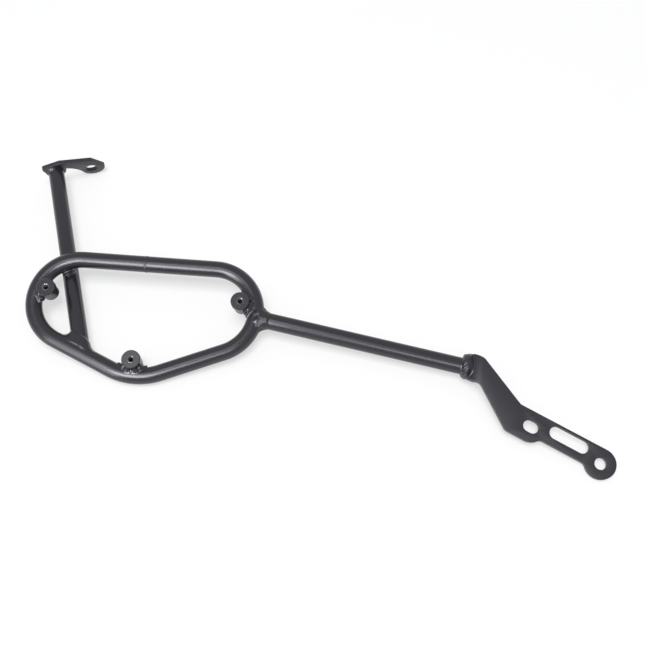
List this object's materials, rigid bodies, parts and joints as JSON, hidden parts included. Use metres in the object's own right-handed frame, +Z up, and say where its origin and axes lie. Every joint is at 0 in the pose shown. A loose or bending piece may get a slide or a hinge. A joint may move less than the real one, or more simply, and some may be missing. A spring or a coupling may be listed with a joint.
{
  "type": "pannier frame",
  "caption": "Welded tubular side carrier for a motorcycle: a closed three-cornered hoop with threaded bosses, a strut and an arm that end in drilled bracket plates.",
  "frame": {"origin": "centre of the bounding box, on the floor the carrier lies on", "axes": "+X along the top rail towards the front bracket, +Y towards the top bracket, +Z up from the floor, out of the carrier's outer face"},
  "size_m": [0.5858, 0.3124, 0.0424],
  "materials": {
    "powder_coat": "black satin powder coat on steel"
  },
  "bodies": {
    "root": {"arm_bracket_weld": "powder_coat", "arm_hoop_weld": "powder_coat", "arm_tube": "powder_coat", "front_boss": "powder_coat", "front_boss_weld_lower": "powder_coat", "front_boss_weld_upper": "powder_coat", "front_bracket": "powder_coat", "hoop": "powder_coat", "hoop_butt_weld": "powder_coat", "lower_boss": "powder_coat", "lower_boss_weld_front": "powder_coat", "lower_boss_weld_rear": "powder_coat", "rear_boss": "powder_coat", "rear_boss_weld_lower": "powder_coat", "rear_boss_weld_upper": "powder_coat", "strut_crossing_weld_lower": "powder_coat", "strut_crossing_weld_upper": "powder_coat", "strut_foot_weld": "powder_coat", "strut_tube": "powder_coat", "top_bracket": "powder_coat", "top_bracket_weld": "powder_coat"}
  },
  "joints": []
}
